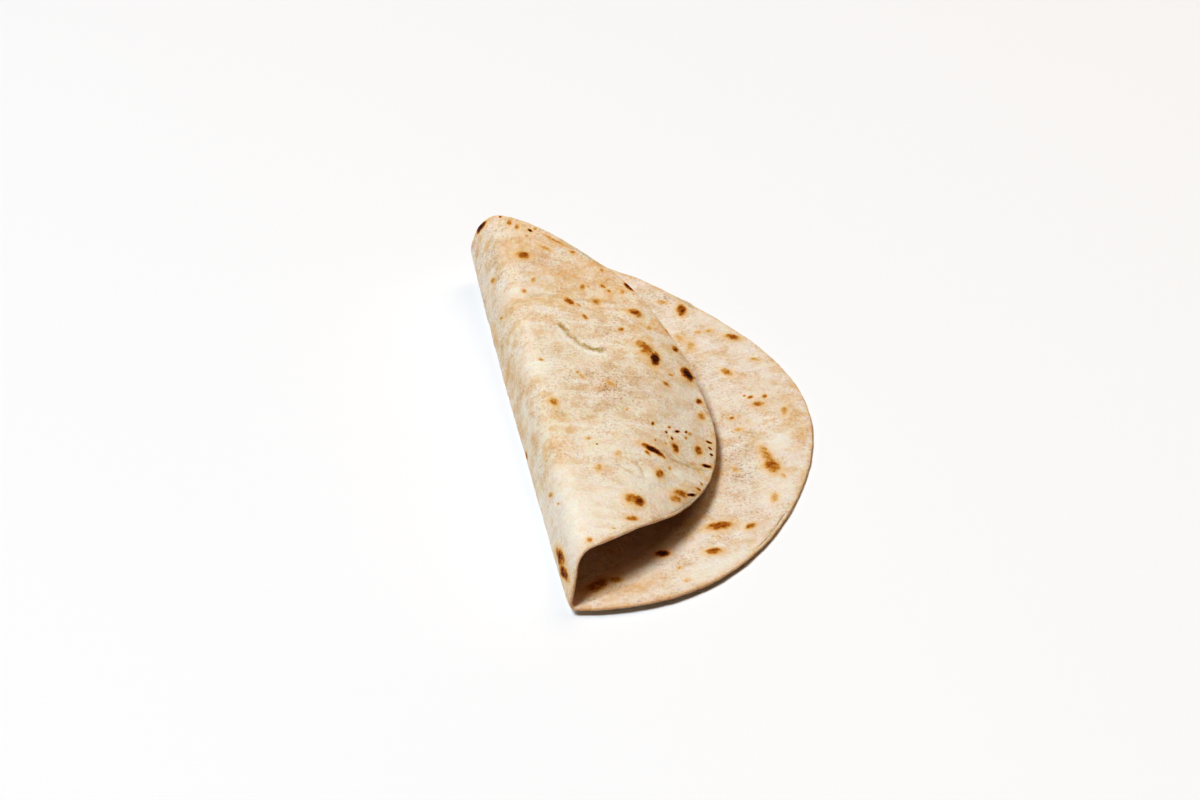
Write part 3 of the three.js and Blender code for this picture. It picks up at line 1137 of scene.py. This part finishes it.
def streaks(length, width, detail):
    """Noise drawn out along the way in which the flap was rolled and wrinkled."""
    turned = tree.nodes.new("ShaderNodeMapping")
    turned.vector_type = "TEXTURE"
    turned.inputs["Rotation"].default_value = (0, 0, STREAK_HEADING)
    turned.inputs["Scale"].default_value = (length, width, 1)
    tree.links.new(sheet_place, turned.inputs["Vector"])
    return noise(1, detail, STREAK_ROUGHNESS, turned.outputs["Vector"])


def baked_skin(colour, side):
    """Golden patches, which keep to some regions, and dull mottling. Flour hides some of both."""
    regions = patches(34 * MM, start=0.35, full=0.6, least=0.4, detail=1)
    golden = times(patches(6 * MM, start=0.46, full=0.6, detail=5, roughness=0.6), regions)
    golden_share = times(spread(side, 0, 1, GOLDEN_INSIDE, GOLDEN_OUTSIDE), by_tone("floury", 1, 0.5))
    colour = lay(colour, GOLDEN, golden, golden_share)
    mottle = patches(6 * MM, start=0.44, full=0.62, detail=6, roughness=0.75)
    mottle_share = calculate("MULTIPLY_ADD", layer("dusky"), MOTTLE_MORE, by_tone("floury", 0.35, 0.2))
    colour = lay(colour, DUSKY, mottle, mottle_share)
    return lay(colour, DUSKY, layer("dusky"), DUSKY_SHARE)


def floury_skin(colour):
    """Streaks of flour all over, and whole patches of it."""
    colour = lay(colour, FLOUR, spread(streaks(22 * MM, 5 * MM, 4), *STREAK_EDGE), STREAK_SHARE)
    dusting = patches(5 * MM, start=0.36, full=0.6, least=0.3, most=0.75, detail=5, roughness=0.65)
    return lay(colour, FLOUR, layer("floury"), dusting)


def toasted_and_shaded_parts(colour):
    """The toasted patches, then painted shade inside the fold and under the flap, and the rim's brown edge,
    which is partly painted shade.
    """
    crust = patches(4.5 * MM, start=0.36, full=0.62, least=0.25, detail=4, roughness=0.6, where=shifted_place)
    colour = lay(colour, TOASTED, times(layer("toasted"), crust), TOASTED_SHARE)
    # painted shade inside the fold and under the flap
    colour = lay(colour, LINING_SHADE, layer("lining_shade"), LINING_SHADE_SHARE)
    # the rim's brown edge: partly toasting, partly painted shade
    return lay(colour, RIM_BROWN_AND_SHADE, layer("rim"), RIM_BROWN_AND_SHADE_SHARE)


def fine_grain(colour):
    """A pale grain, and flecks of bran, more in some places, and fewer under flour."""
    grain = patches(1.3 * MM, start=0.52, full=0.66, detail=3, roughness=0.7, where=shifted_place)
    colour = lay(colour, FLOUR, grain, GRAIN_SHARE)
    flecks = patches(1 * MM, start=0.5, full=0.64, detail=3, roughness=0.75)
    share = patches(10 * MM, start=0.35, full=0.65, least=0.12, most=0.42)
    share = calculate("MULTIPLY_ADD", layer("dusky"), BRAN_MORE, share)
    return lay(colour, BRAN, flecks, times(share, by_tone("floury", 1, 0.3)))


sheet_map = tree.nodes.new("ShaderNodeUVMap")
sheet_map.uv_map = SHEET_MAP
sheet_place = sheet_map.outputs["UV"]
shifted = tree.nodes.new("ShaderNodeMapping")
shifted.inputs["Location"].default_value = NOISE_SHIFT
tree.links.new(object_place, shifted.inputs["Vector"])
shifted_place = shifted.outputs["Vector"]
outside_share = layer("outside_share")
dough = baked_skin(mix_colours(outside_share, PALE_PINK, CREAM), outside_share)
dough = fine_grain(toasted_and_shaded_parts(floury_skin(dough)))
print("nodes for the dough:", len(tree.nodes))

# %% [markdown]
# The marks of folding are pressed into the mesh already. Their bottom is darker. A pale band along one side
# of each deep mark is a painted highlight, of a raised edge that the mesh doesn't have. The mesh says how far
# across a stroke each point is, and noise bends that line and breaks it up, because a real mark isn't even.

# %% Colour the marks
MARK_WANDER = 2.6  # how far from side to side noise bends a mark, in half widths
GROOVE_EDGE = (0.2, 1.1)
GROOVE_SHARE = 0.9
# The pale band beside a mark is a painted highlight of a raised edge.
HIGHLIGHT_LIP_SIDE = 1.7  # where the lip is, in half widths to one side
HIGHLIGHT_LIP_EDGE = (0.3, 1.0)
HIGHLIGHT_LIP_SHARE = 0.35
HIGHLIGHT_LIP_DEPTH = 0.6  # a shallower mark has no lip


def mark_colours(colour):
    """Lays the dark groove of the marks over the dough, and a pale band beside it that is a painted
    highlight.
    """
    bend = calculate("MULTIPLY_ADD", noise(2.2 * MM, 3, 0.6), MARK_WANDER, -MARK_WANDER / 2)
    across = calculate("ADD", layer("mark_place"), bend)
    broken = patches(3.5 * MM, start=0.38, full=0.56, least=0.45, roughness=0.6, where=shifted_place)
    depth = layer("mark_depth")
    groove = times(spread(calculate("ABSOLUTE", across), *GROOVE_EDGE, GROOVE_SHARE, 0), broken)
    lip_highlight = spread(calculate("ABSOLUTE", calculate("ADD", across, HIGHLIGHT_LIP_SIDE)), *HIGHLIGHT_LIP_EDGE, 1, 0)
    colour = lay(colour, GROOVE, groove, depth)
    return lay(colour, FLOUR, lip_highlight, spread(depth, HIGHLIGHT_LIP_DEPTH, 1, 0, HIGHLIGHT_LIP_SHARE))


dough = mark_colours(dough)
print("nodes with the marks:", len(tree.nodes))

# %% [markdown]
# # The browned spots
# A spot is hottest in its middle and ragged at its edge. The place inside its oval says how far from
# its middle a point is, noise makes that reach ragged, and the spot's own heat says how far up the
# colour ramp it gets. Of all the sets the hottest one counts, so spots that meet grow together.

# %% Brown the spots
HOTTEST = 1.5
SPOT_EDGE = (0.4, 1.3)  # where a spot starts to fade and where it ends, in its own radii
HALO_START = 0.9
HALO_HEAT = 0.2
FULL_HALO = 0.7  # the heat from which a spot has its full halo
RAGGEDNESS = 0.9
RAGGED_SHIFT = -0.49
SPOT_RAMP = [  # heat, colour and how much of the dough it hides
    (0.00, linear(238, 208, 160), 0.0),
    (0.12, linear(230, 192, 138), 0.45),
    (0.30, linear(212, 170, 101), 0.85),
    (0.48, linear(190, 133, 48), 1.0),
    (0.68, linear(165, 101, 22), 1.0),
    (0.90, linear(128, 62, 7), 1.0),
    (1.15, linear(76, 24, 8), 1.0),
    (1.45, linear(14, 5, 4), 1.0),
]


def set_heat(number, ragged, streaky):
    """Heat at a point from one set of spots: full inside a spot, with a soft edge and a faint halo."""
    length = tree.nodes.new("ShaderNodeVectorMath")
    length.operation = "LENGTH"
    feed(length.inputs[0], layer(f"spot_place_{number}", "Vector"))
    reach = calculate("ADD", length.outputs["Value"], ragged)
    spot_heat = layer(f"spot_heat_{number}")
    body = times(times(spread(reach, *SPOT_EDGE, 1, 0), streaky), spot_heat)
    halo = times(spread(reach, HALO_START, 1 + HALO, 1, 0), spread(spot_heat, 0, FULL_HALO, 0, HALO_HEAT))
    return calculate("MAXIMUM", body, halo)


def spot_heat_here():
    """The strongest heat of all the sets."""
    ragged = calculate("MULTIPLY_ADD", noise(2.0 * MM, 4, 0.65), RAGGEDNESS, RAGGED_SHIFT)
    streaky = patches(1.6 * MM, start=0.35, full=0.62, least=0.65, most=1.25, detail=3, roughness=0.65)
    heat = set_heat(0, ragged, streaky)
    for number in range(1, SPOT_SETS):
        heat = calculate("MAXIMUM", heat, set_heat(number, ragged, streaky))
    return heat


def brown(colour, heat):
    """Lays the browned spots over the dough."""
    ramp = tree.nodes.new("ShaderNodeValToRGB")
    stops = ramp.color_ramp.elements
    while len(stops) < len(SPOT_RAMP):
        stops.new(0.5)
    for stop, (position, tint, cover) in zip(stops, SPOT_RAMP):
        stop.position = position / HOTTEST
        stop.color = (*tint, cover)
    feed(ramp.inputs["Fac"], calculate("DIVIDE", heat, HOTTEST))
    return mix_colours(ramp.outputs["Alpha"], colour, ramp.outputs["Color"])


heat = spot_heat_here()
feed(shader.inputs["Base Color"], brown(dough, heat))
print("nodes with the spots:", len(tree.nodes))

# %% [markdown]
# # The skin
# Baked flour is dry and matt, and a burnt spot is a little less so. Light goes a few millimetres into
# bread and comes out warmer, which Subsurface does. The grain that is too fine for the mesh is bump:
# small pebbles all over, and fine wrinkles along the way in which the bread was rolled.

# %% Give the skin its sheen and grain
GRAIN_HEIGHT = 0.5 * MM
GRAIN_STRENGTH = 0.9
WRINKLES_IN_GRAIN = 1.2
DOUGH_ROUGHNESS = 0.82
BURNT_ROUGHNESS = 0.7
DARKENING = (0.3, 0.9)  # heats between which the roughness changes
SKIN = {
    "Specular IOR Level": 0.3,
    "Subsurface Weight": 0.4,
    "Subsurface Radius": (1.0, 0.4, 0.12),
    "Subsurface Scale": 3.2 * MM,
}


def add_grain():
    """Fine grain and small wrinkles as bump, and a drier or glossier skin."""
    bump = tree.nodes.new("ShaderNodeBump")
    bump.inputs["Strength"].default_value = GRAIN_STRENGTH
    bump.inputs["Distance"].default_value = GRAIN_HEIGHT
    wrinkles = times(streaks(16 * MM, 4 * MM, 3), WRINKLES_IN_GRAIN)
    feed(bump.inputs["Height"], calculate("ADD", noise(1.5 * MM, 4, 0.65), wrinkles))
    feed(shader.inputs["Normal"], bump.outputs["Normal"])
    feed(shader.inputs["Roughness"], spread(heat, *DARKENING, DOUGH_ROUGHNESS, BURNT_ROUGHNESS))


add_grain()
for socket_name, value in SKIN.items():
    shader.inputs[socket_name].default_value = value
roti.data.materials.clear()
roti.data.materials.append(bread)
print("material nodes:", len(tree.nodes))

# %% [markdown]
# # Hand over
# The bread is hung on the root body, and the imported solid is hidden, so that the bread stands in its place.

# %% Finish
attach(roti, "root")
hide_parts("roti")
